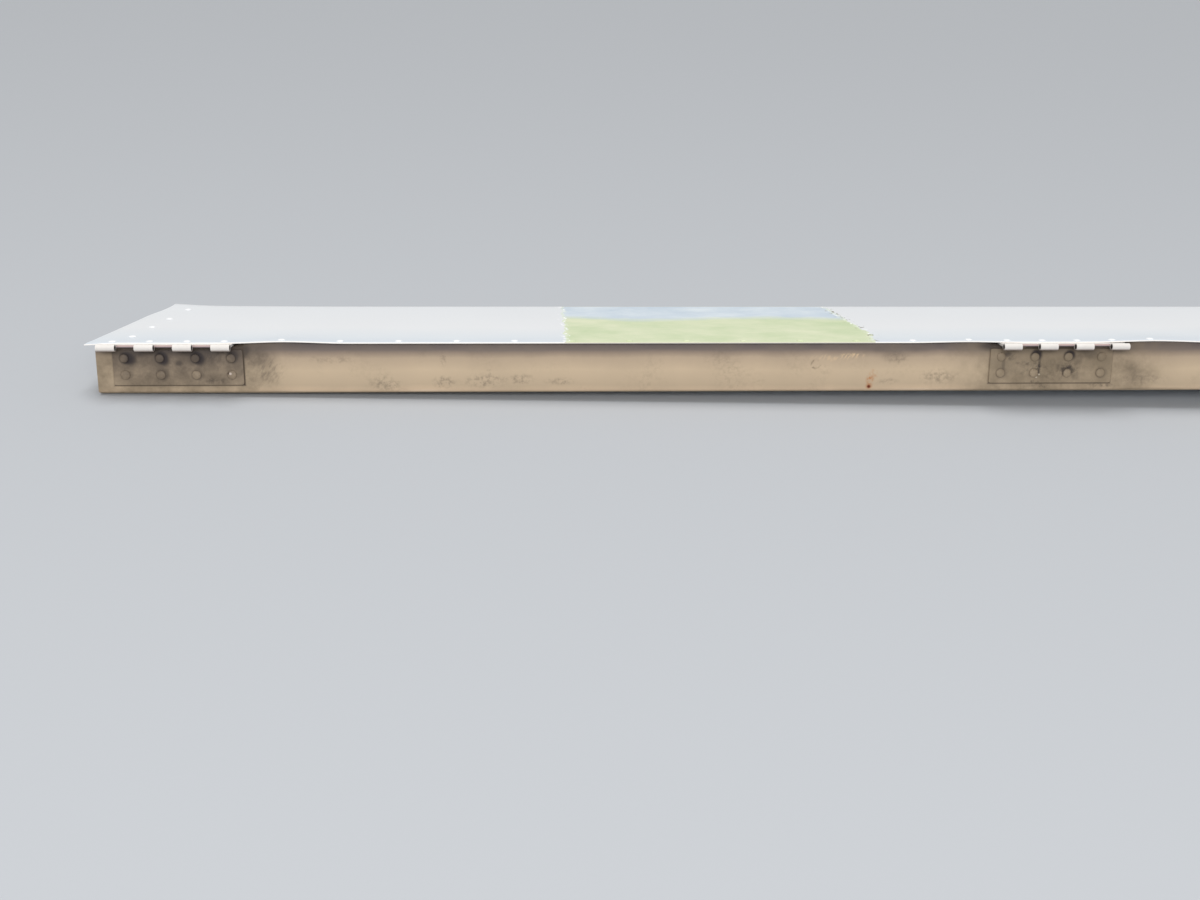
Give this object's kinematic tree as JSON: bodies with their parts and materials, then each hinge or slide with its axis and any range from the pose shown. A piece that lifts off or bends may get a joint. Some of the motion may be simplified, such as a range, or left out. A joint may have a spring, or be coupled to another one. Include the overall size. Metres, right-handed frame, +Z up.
{
  "type": "trim tab",
  "caption": "Long riveted sheet-metal trim tab of wedge section, hinged along its thick front edge by open knuckles, with a control horn below.",
  "frame": {"origin": "on the hinge axis at mid-span, at the middle of the middle hinge half", "axes": "+X along the hinge axis, +Y aft from the spar to the trailing edge, +Z up, square to the level lower skin"},
  "size_m": [1.3272, 0.2022, 0.0526],
  "materials": {
    "skin_paint": "aluminium sheet in satin white paint, with a rubbed-back area in pale green primer",
    "spar_paint": "aluminium sheet in aged, dirty cream paint, and on the end ribs too",
    "hinge_paint": "extruded aluminium with worn off-white paint",
    "rib_primer": "aluminium sheet in matt green primer",
    "horn_paint": "machined aluminium in satin off-white paint",
    "bush_steel": "plain turned steel"
  },
  "bodies": {
    "root": {"control_horn": "horn_paint", "doubler_rivets_left": "spar_paint", "doubler_rivets_middle": "spar_paint", "doubler_rivets_right": "spar_paint", "front_spar": "spar_paint", "hinge_half_left": "hinge_paint", "hinge_half_middle": "hinge_paint", "hinge_half_right": "hinge_paint", "hinge_rivets_left": "skin_paint", "hinge_rivets_middle": "skin_paint", "hinge_rivets_right": "skin_paint", "horn_bush": "bush_steel", "horn_rib": "rib_primer", "horn_rib_rivets": "skin_paint", "horn_rivets": "skin_paint", "left_end_rib": "spar_paint", "left_end_rib_rivets": "skin_paint", "lower_skin_rivets": "skin_paint", "right_end_rib": "spar_paint", "right_end_rib_rivets": "skin_paint", "spar_doubler_left": "spar_paint", "spar_doubler_middle": "spar_paint", "spar_doubler_right": "spar_paint", "upper_skin_rivets": "skin_paint", "wraparound_skin": "skin_paint"}
  },
  "joints": []
}
